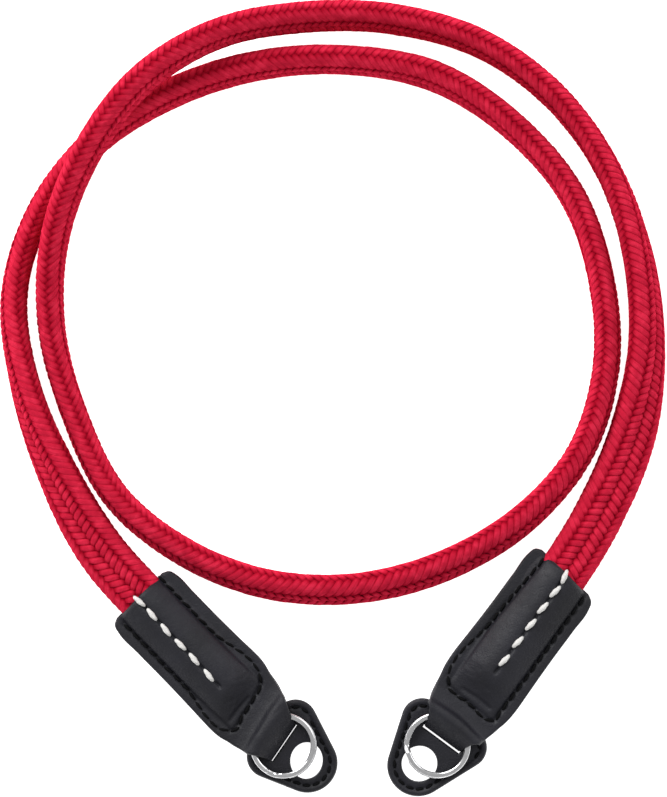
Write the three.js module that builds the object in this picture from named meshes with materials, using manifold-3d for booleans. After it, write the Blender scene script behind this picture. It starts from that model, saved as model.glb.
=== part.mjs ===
// Camera neck strap: a flat braided silk cord in two loose turns, with a folded leather end,
// a steel split ring and a leather ring cover at each side. Millimetres, +Z up.
// The origin lies on the surface, midway between the two leather ends. +X runs from the left end to the right.
import * as THREE from 'three';
import { mergeVertices } from 'three/addons/utils/BufferGeometryUtils.js';
import Module from 'manifold-3d';

const wasm = await Module();
wasm.setup();

// Silk cord
const CORD_WIDTH = 11.6;
const CORD_THICKNESS = 5.8;
const CORD_FLAT = 2.0; // height of the flat on each narrow side
const CORD_FACE = 7.2; // width between the two ridges of a wide face
const CORD_VALLEY = 0.45; // depth of the valley between the ridges
const CORD_STEPS = 80; // stretches that the cord's length is divided into
const CORD_TRIM = 0.0006; // share of the route that is left free at each end, so that a pocket has a floor
const SPLINE_TENSION = 0.5;

// Room between neighbouring pieces
const GAP = 0.3;

// Leather ends
const POCKET_SHARE = 0.76; // share of the half width that bulges over the cord; the rest is the sewn rim
const POCKET_END = 30; // distance from the mouth at which the bulge begins to close
const POCKET_ROUTE_SHARE = 0.04; // share of the cord's route from the floor of a pocket to past its mouth
const POCKET_STEPS = 8; // stretches that a pocket's length is divided into
const BULGE_ROUNDNESS = 2.6; // exponent of the superellipse that a pocket's bulge follows
const UNDERSIDE_PRESS = 1.12; // how far the underside of a pocket is pressed flat by its own weight
const TABLE_STITCH = 38.1; // where the table of sections puts the cross stitches
const TABLE_FOLD = 48.4; // where it puts the fold
const ACROSS = [-1, -0.79, -0.74, -0.66, -0.52, -0.3, 0, 0.3, 0.52, 0.66, 0.74, 0.79, 1]; // of the half width
const LOOP_THROUGH = 30; // length of the shape that hollows the loop, well over the strip's width
const LOOP_STEPS = 8; // stretches that this length is divided into, so that it can follow the lean of the fold
const MERGE_DISTANCE = 1e-4; // corners of a skin that lie closer than this are one

// Split ring
const RING_RADIUS = 7.6;
const WIRE_WIDTH = 1.3;
const WIRE_HEIGHT = 0.9;
const WIRE_CORNER = 0.25;
const TURN_PITCH = 1.05; // height from the lower turn of the wire to the upper one
const RING_STEPS = 76; // stretches that the wire's length is divided into
const RING_TURNS = 1.9;
const STEP_ARC = 0.06; // share of a turn over which the wire steps up
const ROOM_SEGMENTS = 48; // sides of the round room that a ring takes in its loop

// Ring cover
const COVER_THICKNESS = 1.6;
const COVER_BEVEL = 0.35;
const COVER_BEVEL_STEPS = 2;
const COVER_CURVE_STEPS = 14; // straight stretches in each arc of its outline
const COVER_TILT = 5.3; // degrees that it leans on its tip, because the loop holds its other side up

// Route of the cord's centre line, from the left pocket to the right one.
// x, y: place on the surface. turn: degrees that the flat section is turned about the line of travel,
// right-hand side up. lift: height over the one at which the section would rest on the surface.
const CORD_ROUTE = [
  { x: -30.1, y: -2.3, turn: 0, lift: 1.6 },
  { x: -44.6, y: 12.6, turn: 2, lift: 1.45 },
  { x: -58.4, y: 28.0, turn: 15, lift: 0.7 },
  { x: -68.4, y: 46.1, turn: 37, lift: 0.1 },
  { x: -75.5, y: 65.5, turn: 61, lift: 0 },
  { x: -78.1, y: 86.2, turn: 80, lift: 0 },
  { x: -72.2, y: 105.5, turn: 94, lift: 0 },
  { x: -59.4, y: 121.8, turn: 107, lift: 0 },
  { x: -41.9, y: 132.9, turn: 114, lift: 0 },
  { x: -22.2, y: 139.2, turn: 113, lift: 0 },
  { x: -1.6, y: 140.5, turn: 111, lift: 0 },
  { x: 18.7, y: 136.7, turn: 115, lift: 0 },
  { x: 36.1, y: 125.7, turn: 109, lift: 0 },
  { x: 49.8, y: 110.0, turn: 99, lift: 0 },
  { x: 56.7, y: 90.9, turn: 90, lift: 0 },
  { x: 58.0, y: 70.1, turn: 81, lift: 0 },
  { x: 52.1, y: 50.4, turn: 74, lift: 0 },
  { x: 38.7, y: 34.8, turn: 62, lift: 0 },
  { x: 20.9, y: 24.3, turn: 59, lift: 0 },
  { x: 0.9, y: 19.1, turn: 61, lift: 0 },
  { x: -19.8, y: 20.0, turn: 63, lift: 0 },
  { x: -39.0, y: 27.4, turn: 67, lift: 0 },
  { x: -54.9, y: 40.4, turn: 75, lift: 0 },
  { x: -64.2, y: 59.0, turn: 91, lift: 0.2 },
  { x: -69.4, y: 79.0, turn: 103, lift: 2.2 },
  { x: -68.4, y: 99.6, turn: 108, lift: 7.0 },
  { x: -61.0, y: 118.8, turn: 113, lift: 11.1 },
  { x: -48.5, y: 135.4, turn: 114, lift: 11.6 },
  { x: -31.1, y: 146.2, turn: 114, lift: 7.4 },
  { x: -10.8, y: 150.3, turn: 116, lift: 2.4 },
  { x: 9.9, y: 149.8, turn: 114, lift: 0.3 },
  { x: 29.7, y: 144.0, turn: 109, lift: 0 },
  { x: 46.4, y: 131.9, turn: 99, lift: 0 },
  { x: 58.5, y: 115.1, turn: 83, lift: 0 },
  { x: 65.3, y: 95.6, turn: 59, lift: 0 },
  { x: 67.3, y: 75.0, turn: 44, lift: 0 },
  { x: 64.1, y: 54.6, turn: 20, lift: 0.3 },
  { x: 56.1, y: 35.5, turn: 9, lift: 1.2 },
  { x: 45.1, y: 17.9, turn: 2, lift: 1.5 },
  { x: 32.8, y: 1.3, turn: 0, lift: 1.6 },
];

// Sections of a leather end, mouth first. at: distance from the mouth. low, high: underside and top on the
// middle line. rimLow, rimHigh: the same along the edges. The cross stitches are at 38.1, the fold is at 48.4.
const END_SECTIONS = [
  { at: 0.0, halfWidth: 7.9, low: 0.1, high: 8.9, rimLow: 3.3, rimHigh: 5.7 },
  { at: 0.7, halfWidth: 8.9, low: 0.0, high: 9.0, rimLow: 3.2, rimHigh: 5.8 },
  { at: 2.2, halfWidth: 9.4, low: 0.0, high: 9.1, rimLow: 3.2, rimHigh: 5.8 },
  { at: 9.0, halfWidth: 9.5, low: 0.0, high: 9.1, rimLow: 3.2, rimHigh: 5.8 },
  { at: 18.0, halfWidth: 9.5, low: 0.0, high: 9.1, rimLow: 3.2, rimHigh: 5.8 },
  { at: 27.0, halfWidth: 9.7, low: 0.0, high: 9.1, rimLow: 3.2, rimHigh: 5.8 },
  { at: 30.0, halfWidth: 9.8, low: 0.2, high: 8.7, rimLow: 3.1, rimHigh: 5.7 },
  { at: 33.0, halfWidth: 9.8, low: 1.3, high: 7.3, rimLow: 3.0, rimHigh: 5.6 },
  { at: 36.0, halfWidth: 9.5, low: 2.6, high: 5.8, rimLow: 2.9, rimHigh: 5.5 },
  { at: 38.1, halfWidth: 9.0, low: 2.8, high: 5.4, rimLow: 2.8, rimHigh: 5.4 },
  { at: 39.8, halfWidth: 8.6, low: 1.6, high: 6.5, rimLow: 1.7, rimHigh: 6.2 },
  { at: 41.5, halfWidth: 8.0, low: 0.3, high: 7.5, rimLow: 0.4, rimHigh: 7.2 },
  { at: 43.2, halfWidth: 7.2, low: 0.0, high: 7.9, rimLow: 0.0, rimHigh: 7.6 },
  { at: 44.8, halfWidth: 6.4, low: 0.0, high: 7.8, rimLow: 0.0, rimHigh: 7.6 },
  { at: 46.2, halfWidth: 5.9, low: 0.0, high: 7.0, rimLow: 0.0, rimHigh: 7.0 },
  { at: 47.3, halfWidth: 5.6, low: 0.2, high: 5.5, rimLow: 0.2, rimHigh: 5.5 },
  { at: 48.0, halfWidth: 5.4, low: 0.8, high: 4.2, rimLow: 0.8, rimHigh: 4.2 },
  { at: 48.4, halfWidth: 5.2, low: 1.6, high: 3.1, rimLow: 1.6, rimHigh: 3.1 },
];

// Inside of the loop that holds the ring and its cover, along the same distance.
const LOOP_HOLLOW = [
  { at: 39.4, low: 4.0, high: 4.2 },
  { at: 40.4, low: 2.6, high: 5.3 },
  { at: 41.6, low: 1.4, high: 6.2 },
  { at: 43.2, low: 1.3, high: 6.6 },
  { at: 44.8, low: 1.3, high: 6.5 },
  { at: 45.8, low: 1.3, high: 5.8 },
  { at: 46.5, low: 1.4, high: 4.9 },
  { at: 46.9, low: 1.8, high: 4.0 },
  { at: 47.1, low: 2.2, high: 3.1 },
];

// The two ends. x, y, heading: the middle of the mouth and the direction from it to the ring, in degrees.
// mouthSkew, stitchSkew, foldSkew: how far each of these leans across the strip, in mm per mm of width.
// ring and hole are in the end's own frame: x from the mouth towards the ring, y to the left of that.
// corners: the three arcs that the outline of the ring cover is drawn round.
const ENDS = [
  {
    name: 'left', x: -49.7, y: 17.7, heading: -45.6,
    stitchAt: 36.4, foldAt: 47.9, mouthSkew: -0.05, stitchSkew: -0.26, foldSkew: -0.2,
    ring: { x: 47.9, y: -0.5, gapAngle: -57 },
    corners: [
      { x: 46.1, y: 5.5, radius: 4.9 },
      { x: 47.6, y: -4.9, radius: 4.9 },
      { x: 55.1, y: 0.6, radius: 6.9 },
    ],
    hole: { x: 54.5, y: 0.8, length: 8.5, width: 7.5, angle: -47 },
    slit: { near: 45.8, far: 48.4, halfWidth: 6.0 },
  },
  {
    name: 'right', x: 49.1, y: 23.3, heading: -126.5,
    stitchAt: 38.1, foldAt: 48.4, mouthSkew: 0.13, stitchSkew: 0.1, foldSkew: 0,
    ring: { x: 49.8, y: 0, gapAngle: -46 },
    corners: [
      { x: 46.6, y: 5.75, radius: 4.75 },
      { x: 47.3, y: -6.4, radius: 4.75 },
      { x: 56.7, y: -0.7, radius: 7.1 },
    ],
    hole: { x: 56.1, y: -0.7, length: 8.4, width: 8.1, angle: 0 },
    slit: { near: 46.3, far: 49.1, halfWidth: 6.2 },
  },
];

const silk = () => new THREE.MeshStandardMaterial({ color: 0xc01830, roughness: 0.6, metalness: 0 });
const leather = () => new THREE.MeshStandardMaterial({ color: 0x26262b, roughness: 0.55, metalness: 0 });
const steel = () => new THREE.MeshStandardMaterial({ color: 0xc8cacc, roughness: 0.25, metalness: 1 });

function named(name, geometry, material) {
  const mesh = new THREE.Mesh(geometry, material);
  mesh.name = name;
  return mesh;
}

// Ten corners of the flat braid's section, with a shallow valley along each wide face, grown by margin
function cordCorners(margin) {
  const wide = CORD_WIDTH / 2 + margin;
  const thin = CORD_THICKNESS / 2 + margin;
  const valley = thin - CORD_VALLEY;
  const flat = (CORD_FLAT + margin) / 2;
  const face = (CORD_FACE + margin) / 2;
  return [
    [wide, flat], [face, thin], [0, valley], [-face, thin], [-wide, flat],
    [-wide, -flat], [-face, -thin], [0, -valley], [face, -thin], [wide, -flat],
  ];
}

// Height of the section's middle when the section rests on the surface, turned by the given degrees
function restingHeight(turn) {
  const angle = THREE.MathUtils.degToRad(turn);
  return Math.max(...cordCorners(0).map(([x, y]) => x * Math.sin(angle) + y * Math.cos(angle)));
}

// Centre line of the cord, with the frame that carries its turned section along it
class CordRoute extends THREE.Curve {
  constructor(rows, from = 0, to = 1) {
    super();
    this.from = from;
    this.to = to;
    this.plan = new THREE.CatmullRomCurve3(
      rows.map((row) => new THREE.Vector3(row.x, row.y, row.lift)), false, 'catmullrom', SPLINE_TENSION);
    this.turns = new THREE.CatmullRomCurve3(
      rows.map((row) => new THREE.Vector3(row.turn, 0, 0)), false, 'catmullrom', SPLINE_TENSION);
  }

  shareOfRoute(t) {
    return THREE.MathUtils.lerp(this.from, this.to, t);
  }

  turnAt(t) {
    return this.turns.getPoint(this.shareOfRoute(t)).x;
  }

  getPoint(t, target = new THREE.Vector3()) {
    const place = this.plan.getPoint(this.shareOfRoute(t));
    const lift = Math.max(place.z, 0);
    return target.set(place.x, place.y, restingHeight(this.turnAt(t)) + lift);
  }

  computeFrenetFrames(segments) {
    const tangents = [];
    const normals = [];
    const binormals = [];
    const up = new THREE.Vector3(0, 0, 1);
    for (let i = 0; i <= segments; i += 1) {
      const t = this.getUtoTmapping(i / segments);
      const tangent = this.getTangent(t);
      const right = new THREE.Vector3().crossVectors(tangent, up).normalize();
      const above = new THREE.Vector3().crossVectors(right, tangent);
      const turn = THREE.MathUtils.degToRad(this.turnAt(t));
      const wide = right.multiplyScalar(Math.cos(turn)).addScaledVector(above, Math.sin(turn));
      tangents.push(tangent);
      normals.push(wide);
      binormals.push(new THREE.Vector3().crossVectors(tangent, wide));
    }
    return { tangents, normals, binormals };
  }
}

function cordSection(margin) {
  return new THREE.Shape(cordCorners(margin).map(([x, y]) => new THREE.Vector2(x, y)));
}

function sweep(section, path, steps) {
  return new THREE.ExtrudeGeometry(section, { steps, extrudePath: path });
}

function silkCord() {
  const route = new CordRoute(CORD_ROUTE, CORD_TRIM, 1 - CORD_TRIM);
  return named('silk_cord', sweep(cordSection(0), route, CORD_STEPS), silk());
}

// A closed mesh as a solid for cutting, and back
function solidOf(geometry) {
  const bare = geometry.clone();
  bare.deleteAttribute('normal');
  bare.deleteAttribute('uv');
  const merged = mergeVertices(bare, MERGE_DISTANCE);
  return new wasm.Manifold(new wasm.Mesh({
    numProp: 3,
    vertProperties: merged.attributes.position.array,
    triVerts: new Uint32Array(merged.index.array),
  }));
}

function geometryOf(solid) {
  const mesh = solid.getMesh();
  const geometry = new THREE.BufferGeometry();
  geometry.setAttribute('position', new THREE.BufferAttribute(mesh.vertProperties, 3));
  geometry.setIndex(new THREE.BufferAttribute(mesh.triVerts, 1));
  geometry.computeVertexNormals();
  return geometry;
}

// Closed skin through outlines that all have the same number of points, with a flat cap at each end
function loft(outlines) {
  const count = outlines[0].length;
  const positions = outlines.flat().flatMap((point) => [point.x, point.y, point.z]);
  const index = [];
  for (let row = 0; row < outlines.length - 1; row += 1) {
    for (let i = 0; i < count; i += 1) {
      const here = row * count + i;
      const next = row * count + ((i + 1) % count);
      index.push(here, next, next + count, here, next + count, here + count);
    }
  }
  for (let i = 1; i < count - 1; i += 1) {
    const last = (outlines.length - 1) * count;
    index.push(0, i + 1, i, last, last + i, last + i + 1);
  }
  const geometry = new THREE.BufferGeometry();
  geometry.setAttribute('position', new THREE.Float32BufferAttribute(positions, 3));
  geometry.setIndex(index);
  return geometry;
}

// Outline of one section of a leather end, across the strip: the top from the right edge to the left one,
// then the underside back
function endOutline(section) {
  const top = [];
  const underside = [];
  for (const share of ACROSS) {
    const y = section.halfWidth * share;
    const inPocket = Math.min(Math.abs(share) / POCKET_SHARE, 1);
    const bulge = (1 - inPocket ** BULGE_ROUNDNESS) ** (1 / BULGE_ROUNDNESS);
    const pressed = Math.min(1, UNDERSIDE_PRESS * bulge);
    const high = THREE.MathUtils.lerp(section.rimHigh, section.high, bulge);
    const low = THREE.MathUtils.lerp(section.rimLow, section.low, pressed);
    top.push(new THREE.Vector3(section.at, y, high));
    underside.unshift(new THREE.Vector3(section.at, y, low));
  }
  return [...top.reverse(), ...underside.reverse()];
}

// Distances that the tables give for the right end, moved to this end's own stitches and fold
function placeAlong(at, end) {
  if (at <= POCKET_END) {
    return at;
  }
  if (at <= TABLE_STITCH) {
    return THREE.MathUtils.mapLinear(at, POCKET_END, TABLE_STITCH, POCKET_END, end.stitchAt);
  }
  return THREE.MathUtils.mapLinear(at, TABLE_STITCH, TABLE_FOLD, end.stitchAt, end.foldAt);
}

// The strip's mouth, cross stitches and fold each lean a little, and what lies between follows
function skewed(geometry, end) {
  const position = geometry.attributes.position;
  for (let i = 0; i < position.count; i += 1) {
    const x = position.getX(i);
    const skew = x < end.stitchAt
      ? THREE.MathUtils.mapLinear(x, 0, end.stitchAt, end.mouthSkew, end.stitchSkew)
      : THREE.MathUtils.mapLinear(x, end.stitchAt, end.foldAt, end.stitchSkew, end.foldSkew);
    position.setX(i, x + position.getY(i) * skew);
  }
  return geometry;
}

function loopHollow(end) {
  const roof = LOOP_HOLLOW.map((row) => new THREE.Vector2(placeAlong(row.at, end), row.high));
  const floor = LOOP_HOLLOW.map((row) => new THREE.Vector2(placeAlong(row.at, end), row.low));
  const outline = new THREE.Shape([...floor, ...roof.reverse()]);
  const through = new THREE.ExtrudeGeometry(outline, {
    depth: LOOP_THROUGH,
    steps: LOOP_STEPS,
    bevelEnabled: false,
  });
  through.translate(0, 0, -LOOP_THROUGH / 2);
  return through.rotateX(Math.PI / 2);
}

// Room that the cord takes in the pocket of this end, with a gap all round
function pocketRoom(end) {
  const route = end.name === 'left'
    ? new CordRoute(CORD_ROUTE, 0, POCKET_ROUTE_SHARE)
    : new CordRoute(CORD_ROUTE, 1 - POCKET_ROUTE_SHARE, 1);
  return sweep(cordSection(GAP), route, POCKET_STEPS);
}

// Room that the split ring takes inside the loop, with a gap all round
function ringRoom() {
  const inside = RING_RADIUS - WIRE_WIDTH - GAP;
  const outside = RING_RADIUS + GAP;
  const low = -GAP;
  const high = TURN_PITCH + WIRE_HEIGHT + GAP;
  const profile = [[inside, low], [outside, low], [outside, high], [inside, high], [inside, low]];
  const room = new THREE.LatheGeometry(profile.map(([x, y]) => new THREE.Vector2(x, y)), ROOM_SEGMENTS);
  return room.rotateX(Math.PI / 2);
}

function leatherEnd(end, endFrame, ringFrame) {
  const outlines = END_SECTIONS.map((row) => endOutline({ ...row, at: placeAlong(row.at, end) }));
  const toEnd = endFrame.clone().invert();
  const strip = solidOf(skewed(loft(outlines), end));
  const hollow = solidOf(skewed(loopHollow(end), end));
  const pocket = solidOf(pocketRoom(end).applyMatrix4(toEnd));
  const ring = solidOf(ringRoom().applyMatrix4(toEnd.clone().multiply(ringFrame)));
  const cut = strip.subtract(hollow).subtract(pocket).subtract(ring);
  return named(`leather_end_${end.name}`, geometryOf(cut), leather());
}

// Two turns of flat wire that lie on each other. The wire steps from the lower turn to the upper one
// in a short arc, between its own two ends.
class SplitRingPath extends THREE.Curve {
  constructor(gapAngle) {
    super();
    const halfGap = (2 - RING_TURNS) / 2;
    this.start = THREE.MathUtils.degToRad(gapAngle) + halfGap * 2 * Math.PI;
  }

  getPoint(t, target = new THREE.Vector3()) {
    const angle = this.start + t * RING_TURNS * 2 * Math.PI;
    const fromMiddle = (t - 0.5) * RING_TURNS;
    const raised = THREE.MathUtils.smoothstep(fromMiddle, -STEP_ARC / 2, STEP_ARC / 2);
    const radius = RING_RADIUS - WIRE_WIDTH / 2;
    const height = WIRE_HEIGHT / 2 + raised * TURN_PITCH;
    return target.set(radius * Math.cos(angle), radius * Math.sin(angle), height);
  }

  computeFrenetFrames(segments) {
    const tangents = [];
    const normals = [];
    const binormals = [];
    for (let i = 0; i <= segments; i += 1) {
      const point = this.getPoint(this.getUtoTmapping(i / segments));
      const outward = new THREE.Vector3(point.x, point.y, 0).normalize();
      const down = new THREE.Vector3(0, 0, -1);
      tangents.push(new THREE.Vector3().crossVectors(outward, down));
      normals.push(outward);
      binormals.push(down);
    }
    return { tangents, normals, binormals };
  }
}

function splitRing(end) {
  const x = WIRE_WIDTH / 2;
  const y = WIRE_HEIGHT / 2;
  const corner = WIRE_CORNER;
  const outline = [
    [x, y - corner], [x - corner, y], [corner - x, y], [-x, y - corner],
    [-x, corner - y], [corner - x, -y], [x - corner, -y], [x, corner - y],
  ];
  const wire = new THREE.Shape(outline.map(([u, v]) => new THREE.Vector2(u, v)));
  const path = new SplitRingPath(end.ring.gapAngle);
  return named(`split_ring_${end.name}`, sweep(wire, path, RING_STEPS), steel());
}

// Outline drawn round three arcs, joined by straight sides
function outlineRound(corners) {
  const towards = (from, to) => {
    const angle = Math.atan2(to.y - from.y, to.x - from.x);
    const distance = Math.hypot(to.x - from.x, to.y - from.y);
    return angle - Math.acos((from.radius - to.radius) / distance);
  };
  const outline = new THREE.Shape();
  corners.forEach((corner, i) => {
    const before = corners[(i + corners.length - 1) % corners.length];
    const after = corners[(i + 1) % corners.length];
    outline.absarc(corner.x, corner.y, corner.radius, towards(before, corner), towards(corner, after), false);
  });
  return outline;
}

function ringCover(end) {
  const outline = outlineRound(end.corners);
  const { hole, slit } = end;
  const round = new THREE.Path();
  const angle = THREE.MathUtils.degToRad(hole.angle);
  round.absellipse(hole.x, hole.y, hole.length / 2, hole.width / 2, 0, 2 * Math.PI, true, angle);
  const slitCorners = [
    [slit.near, -slit.halfWidth], [slit.near, slit.halfWidth],
    [slit.far, slit.halfWidth], [slit.far, -slit.halfWidth],
  ];
  const slot = new THREE.Path(slitCorners.map(([x, y]) => new THREE.Vector2(x + y * end.foldSkew, y)));
  outline.holes.push(round, slot);
  const plate = new THREE.ExtrudeGeometry(outline, {
    depth: COVER_THICKNESS - 2 * COVER_BEVEL,
    bevelThickness: COVER_BEVEL,
    bevelSize: COVER_BEVEL,
    bevelOffset: -COVER_BEVEL,
    bevelSegments: COVER_BEVEL_STEPS,
    curveSegments: COVER_CURVE_STEPS,
  });
  plate.translate(0, 0, COVER_BEVEL);
  return named(`ring_cover_${end.name}`, plate, leather());
}

// One end: the leather strip, with the ring on its cover in the strip's loop. The cover leans on its tip.
function strapEnd(end) {
  const frame = new THREE.Group();
  frame.position.set(end.x, end.y, 0);
  frame.rotation.z = THREE.MathUtils.degToRad(end.heading);
  const tip = Math.max(...end.corners.map((corner) => corner.x + corner.radius));
  const hinge = new THREE.Group();
  hinge.position.x = tip;
  hinge.rotation.y = THREE.MathUtils.degToRad(COVER_TILT);
  const seat = new THREE.Group();
  seat.position.x = -tip;
  const ring = splitRing(end);
  ring.position.set(end.ring.x, end.ring.y, COVER_THICKNESS + GAP);
  seat.add(ringCover(end), ring);
  hinge.add(seat);
  frame.add(hinge);
  frame.updateMatrixWorld(true);
  frame.add(leatherEnd(end, frame.matrixWorld, ring.matrixWorld));
  return frame;
}

const group = new THREE.Group();
group.add(silkCord(), ...ENDS.map(strapEnd));

export default group;
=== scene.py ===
import math

import bpy
import numpy as np
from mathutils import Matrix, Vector, noise
from mathutils.geometry import delaunay_2d_cdt


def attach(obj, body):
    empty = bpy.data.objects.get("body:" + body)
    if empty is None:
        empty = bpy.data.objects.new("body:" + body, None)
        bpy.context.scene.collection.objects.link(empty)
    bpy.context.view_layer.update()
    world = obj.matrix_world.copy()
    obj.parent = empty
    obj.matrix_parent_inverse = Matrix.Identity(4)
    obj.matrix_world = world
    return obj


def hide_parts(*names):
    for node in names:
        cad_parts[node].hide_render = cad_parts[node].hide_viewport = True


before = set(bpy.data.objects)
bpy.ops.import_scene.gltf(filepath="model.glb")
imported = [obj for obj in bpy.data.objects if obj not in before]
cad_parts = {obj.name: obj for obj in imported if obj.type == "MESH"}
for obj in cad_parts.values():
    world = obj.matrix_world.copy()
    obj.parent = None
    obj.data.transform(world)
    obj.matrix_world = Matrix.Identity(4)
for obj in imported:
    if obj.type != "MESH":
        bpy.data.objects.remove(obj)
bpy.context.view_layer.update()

MM = 0.001
BODY = "root"
RNG = np.random.default_rng(7)

# Photograph: its height in pixels, and what one pixel shows, in mm, at FOCUS_HEIGHT. VIEW_CENTRE: its middle.
PHOTO_HEIGHT = 797
MM_PER_PIXEL = 0.23
VIEW_CENTRE = (-4.7, 62.7)
CAMERA_HEIGHT = 1500.0
FOCUS_HEIGHT = 5.0
SENSOR_HEIGHT = 24.0
CLIP_END = 10.0

# Silk cord, in mm. Its section is a rounded flat shape, and a rounder one where the cord stands on its edge.
CORD_WIDTH = 11.6
CORD_THICKNESS = 5.8
CORD_ROUNDNESS = 2.6
EDGE_ROUNDNESS = 2.05
TIP_FILL = 0.25
OUTLINE_COUNT = 720
ROUTE_COUNT = 60
# A cord that leans settles by up to this many degrees towards upright, and upright it is narrower and thicker
TIP_SETTLE = 10.0
EDGE_NARROWER = 0.04
EDGE_THICKER = 0.155
VALLEY_DEPTH = 0.42
VALLEY_WIDTH = 0.9

# Yarns, in mm. FLOAT_TAPER: width of a yarn as a share, where it dives under. RISE_SHAPE, WIDTH_SHAPE and
# SHADE_SHAPE: how suddenly it rises, widens and comes out of its painted shade. TIP_BAND: columns at which it is
# wider.
YARNS_EACH_WAY = 12
YARN_WIDTH = 1.72
YARN_THICKNESS = 0.8
YARN_RISE = 0.38
FLOAT_TAPER = 0.86
RISE_SHAPE = 0.5
WIDTH_SHAPE = 0.7
SHADE_SHAPE = 0.6
TIP_BAND = [0.8, 1.2, 2.8, 3.2]
TIP_YARN_WIDER = 1.1
YARN_WOBBLE = 0.025
WOBBLE_SPACING = 3.0
YARN_STEP = 0.36
SLOPE_STEP = 0.05
YARN_GROUPS = 4
FIBRE_LENGTH = 10
GROUP_SHIFT = 3.7
IN_POCKET = 12.0
# The dark core inside the yarns, and how often it takes a point of the cord's line
CORE_INSET = 0.25
CORE_SIDES = 24
CORE_EVERY = 8
# The floats lie in eight columns round the section. RIDGE: where they meet, past the middle of a wide face.
# TIP_SHIFT: how far past a tip they meet. CROSSINGS: how many yarns the floats of each column pass over.
# FLOAT_LEAN: how much further than that a float goes along the cord, which the parts that pass under make up for.
RIDGE = 3.1
TIP_SHIFT = 0.3
FLOAT_LEAN = 0.4
CROSSINGS = [4, 2, 2, 4, 4, 2, 2, 4]
COLUMNS = len(CROSSINGS)
# How the braid is drawn out or pushed together: distance along the route, and pitch from float to float
YARN_PITCHES = [
    (29, 1.74),
    (75, 1.66),
    (144, 1.76),
    (190, 1.76),
    (236, 1.65),
    (265, 1.60),
    (305, 1.69),
    (351, 1.91),
    (385, 2.01),
    (420, 1.91),
    (455, 1.75),
    (535, 1.73),
    (604, 1.76),
    (650, 1.65),
    (690, 1.60),
    (742, 1.70),
]

# Route of the cord, from the left pocket to the right one, in mm, as rows of x, y, turn and lift. x, y: place on
# the surface. turn: degrees that the flat section is turned about the line of travel. lift: height over the one
# at which it would rest.
CORD_ROUTE = [
    (-30.1, -2.3, 0, 1.6),
    (-44.6, 12.6, 2, 1.45),
    (-58.4, 28.0, 15, 0.7),
    (-68.4, 46.1, 37, 0.1),
    (-75.5, 65.5, 61, 0),
    (-78.1, 86.2, 80, 0),
    (-72.2, 105.5, 94, 0),
    (-59.4, 121.8, 107, 0),
    (-41.9, 132.9, 114, 0),
    (-22.2, 139.2, 113, 0),
    (-1.6, 140.5, 111, 0),
    (18.7, 136.7, 115, 0),
    (36.1, 125.7, 107, 0),
    (49.8, 110.0, 95, 0),
    (56.7, 90.9, 84, 0),
    (58.0, 70.1, 78, 0),
    (52.1, 50.4, 74, 0),
    (38.7, 34.8, 62, 0),
    (20.9, 24.3, 59, 0),
    (0.9, 19.1, 61, 0),
    (-19.8, 20.0, 63, 0),
    (-39.0, 27.4, 67, 0),
    (-54.9, 40.4, 75, 0),
    (-64.2, 59.0, 84, 0.2),
    (-69.4, 79.0, 98, 2.2),
    (-68.4, 99.6, 108, 7.0),
    (-61.0, 118.8, 113, 11.1),
    (-48.5, 135.4, 114, 11.6),
    (-31.1, 146.2, 114, 7.4),
    (-10.8, 150.3, 116, 2.4),
    (9.9, 149.8, 114, 0.3),
    (29.7, 144.0, 109, 0),
    (46.4, 131.9, 99, 0),
    (58.5, 115.1, 83, 0),
    (65.3, 95.6, 59, 0),
    (67.3, 75.0, 44, 0),
    (64.1, 54.6, 20, 0.3),
    (56.1, 35.5, 9, 1.2),
    (45.1, 17.9, 2, 1.5),
    (32.8, 1.3, 0, 1.6),
]
POCKET_DEPTH = 28.0
# A yarn's section, in half widths and half thicknesses: finer on the side that shows, and flattened there
YARN_SECTION = np.array([
    (1.0, -0.1), (0.88, 0.5), (0.46, 0.95), (-0.46, 0.95), (-0.88, 0.5), (-1.0, -0.1), (0.0, -1.0),
])
# Painted shade: how much of the light reaches each of those corners, between yarns that lie side by side
YARN_SHADE = np.array([0.0, 0.62, 1.0, 1.0, 0.62, 0.0, 0.0])
YARN_SIDES = len(YARN_SECTION)

# Leather ends, in mm, in each one's own frame: x from the mouth towards the ring, y to the left of that.
# Sections, mouth first. at: distance from the mouth. low, high: underside and top on the middle line.
# rim_low, rim_high: the same along the edges. The cross stitches are at 38.1, the fold is at 48.4.
SECTION_KEYS = ("at", "half_width", "low", "high", "rim_low", "rim_high")
END_SECTIONS = [dict(zip(SECTION_KEYS, row)) for row in [
    (0.0, 7.5, 0.1, 8.9, 3.3, 5.7),
    (0.5, 8.4, 0.0, 9.0, 3.2, 5.8),
    (1.2, 9.0, 0.0, 9.0, 3.2, 5.8),
    (2.6, 9.4, 0.0, 9.1, 3.2, 5.8),
    (9.0, 9.5, 0.0, 9.1, 3.2, 5.8),
    (18.0, 9.5, 0.0, 9.1, 3.2, 5.8),
    (27.0, 9.7, 0.0, 9.1, 3.2, 5.8),
    (30.0, 9.8, 0.2, 8.7, 3.1, 5.7),
    (33.0, 9.8, 1.3, 7.3, 3.0, 5.6),
    (36.0, 9.5, 2.6, 5.8, 2.9, 5.5),
    (38.1, 9.0, 2.8, 5.4, 2.8, 5.4),
    (39.8, 8.6, 1.6, 5.5, 1.7, 5.4),
    (41.5, 8.0, 0.3, 6.0, 0.4, 5.9),
    (42.8, 7.4, 0.0, 7.5, 0.0, 7.3),
    (44.0, 6.8, 0.0, 7.7, 0.0, 7.4),
    (45.2, 6.3, 0.0, 7.0, 0.0, 6.8),
    (46.3, 5.9, 0.0, 6.0, 0.0, 5.9),
    (47.3, 5.6, 0.2, 4.8, 0.2, 4.8),
    (48.0, 5.4, 0.8, 3.8, 0.8, 3.8),
    (48.4, 5.2, 1.6, 3.1, 1.6, 3.1),
]]
TABLE_STITCH = 38.1
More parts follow.
